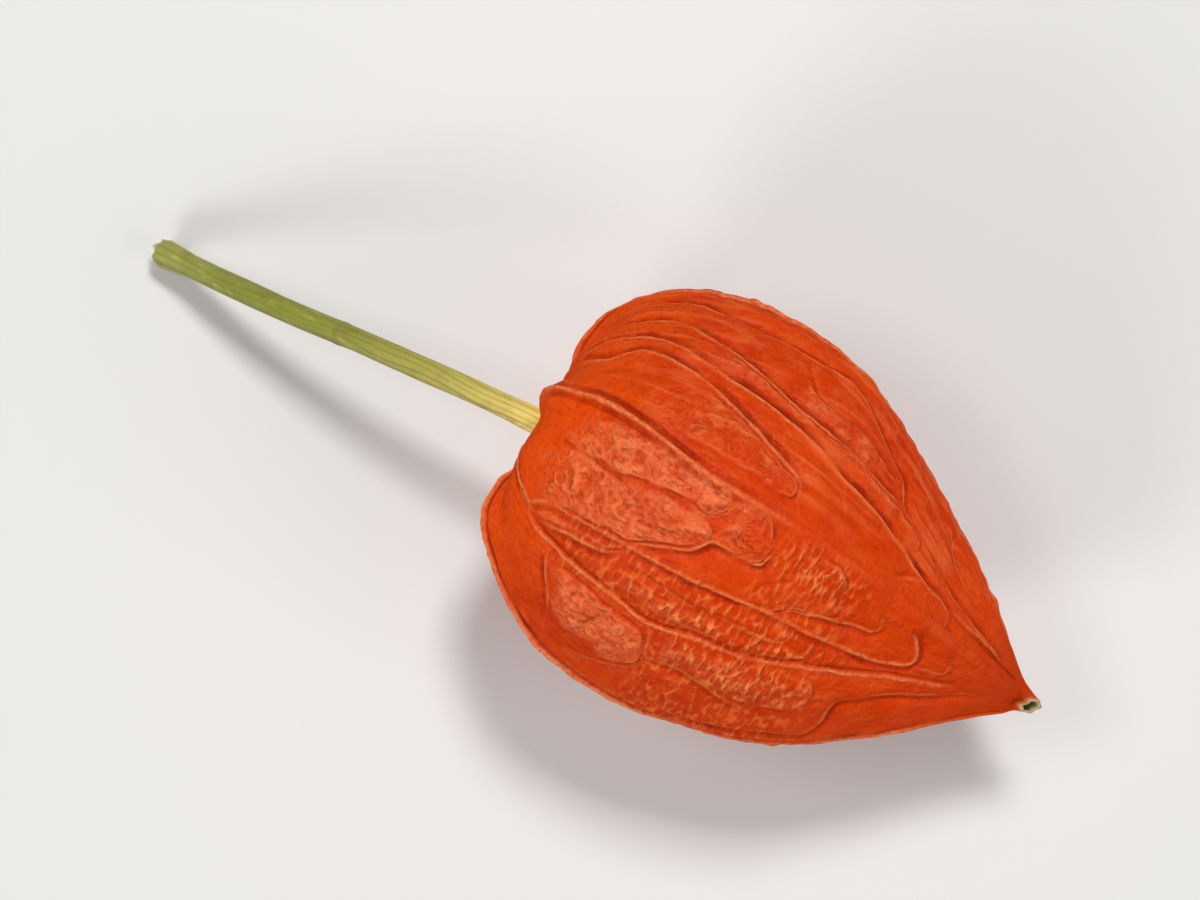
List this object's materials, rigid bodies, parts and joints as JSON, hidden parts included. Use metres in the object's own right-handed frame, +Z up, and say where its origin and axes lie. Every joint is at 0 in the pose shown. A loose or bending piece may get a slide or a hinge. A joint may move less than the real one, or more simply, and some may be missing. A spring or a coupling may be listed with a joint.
{
  "type": "chinese lantern pod",
  "caption": "Ripe papery husk of a Chinese lantern plant, heart-shaped with raised ridges and a pointed tip, lying on its side with its cut stem.",
  "frame": {"origin": "on the surface that the pod lies on, under the middle of its bounding box", "axes": "+X along the pod from its stem towards its tip, +Z up, +Y across the pod to the left of its tip"},
  "size_m": [0.0996, 0.0408, 0.0384],
  "materials": {
    "husk": "satin",
    "stem": "matte"
  },
  "bodies": {
    "root": {"husk": "husk", "stem": "stem"}
  },
  "joints": []
}
